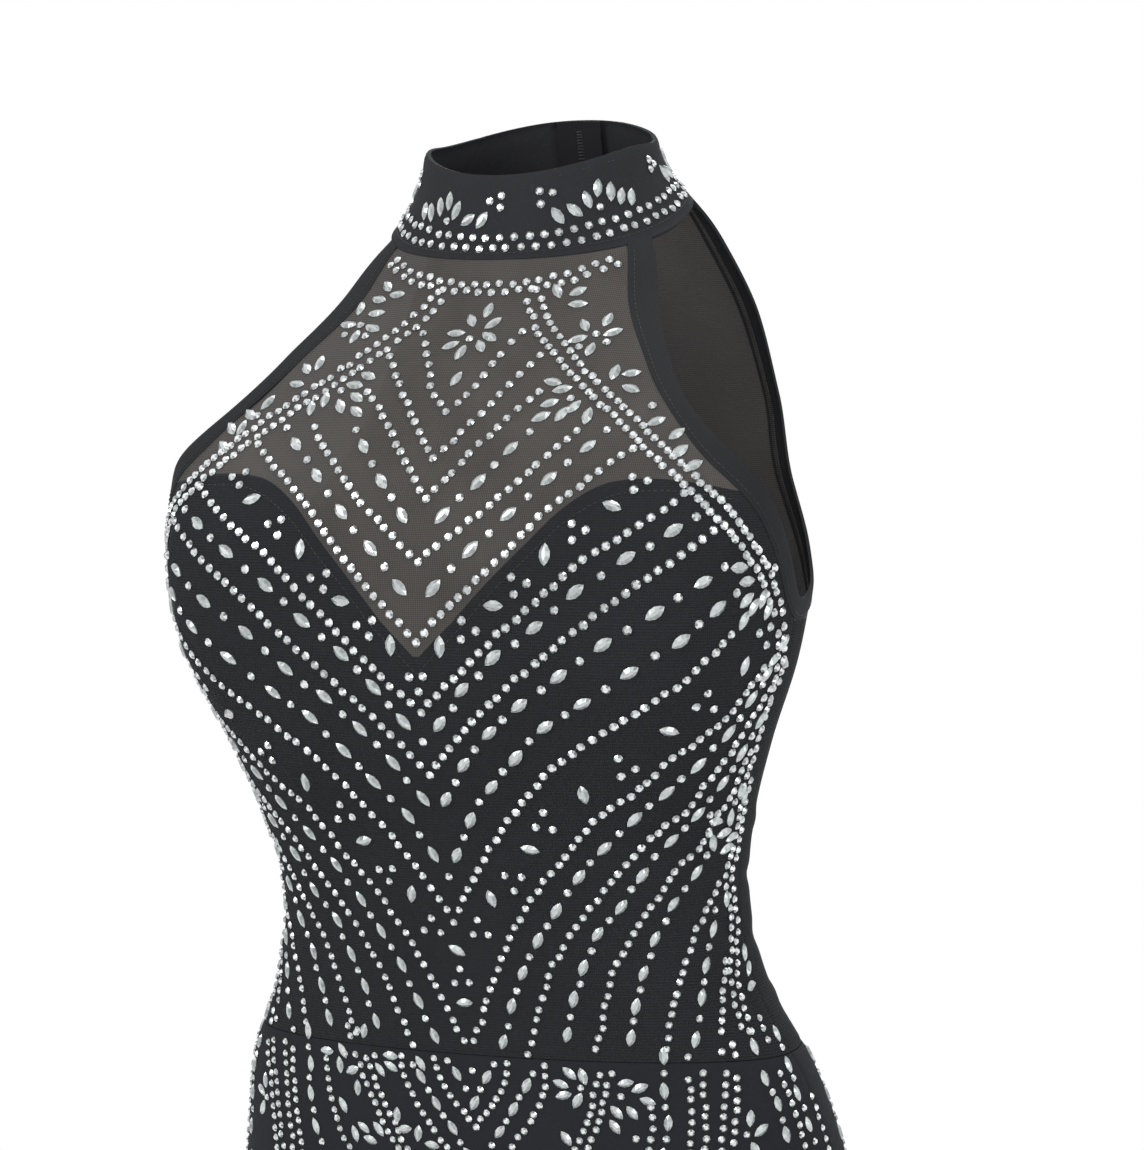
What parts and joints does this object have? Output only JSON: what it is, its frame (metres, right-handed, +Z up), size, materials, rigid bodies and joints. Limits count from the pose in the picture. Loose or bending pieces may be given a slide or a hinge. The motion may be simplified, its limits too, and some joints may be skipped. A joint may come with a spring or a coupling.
{
  "type": "evening dress",
  "caption": "Black floor-length evening dress with a stand collar, halter armholes, a sheer net yoke over a sweetheart lining, and a close skirt that flares at the hem.",
  "frame": {"origin": "middle of the neck ring at the collar seam, where the wearer holds the dress up", "axes": "+Z up the body, -Y toward the wearer's front, +X toward the wearer's left"},
  "size_m": [0.466, 0.338, 1.3717],
  "materials": {
    "net": "sheer matte net",
    "lining": "matte stretch lining",
    "jersey": "matte jersey",
    "binding": "soft satin binding",
    "tape": "woven zip tape",
    "zip_metal": "black lacquer",
    "stone": "silver-backed cut stone",
    "thread": "sewing thread"
  },
  "bodies": {
    "root": {"collar": "jersey", "front_bodice": "net", "front_lining": "lining", "back_bodice_left": "net", "back_bodice_right": "net", "back_lining_left": "lining", "back_lining_right": "lining", "armhole_binding_left": "binding", "armhole_binding_right": "binding", "skirt_front": "jersey", "skirt_back": "jersey", "zip_tape": "tape", "zip_slider": "zip_metal"},
    "pull_tab": {"zip_pull_tab": "zip_metal"}
  },
  "joints": [
    {"name": "pull_tab_hinge", "type": "hinge", "parent": "root", "child": "pull_tab", "pos_m": [0, 0.0575, 0.03177], "axis": [1, 0, 0], "range_deg": [0, 165]}
  ]
}
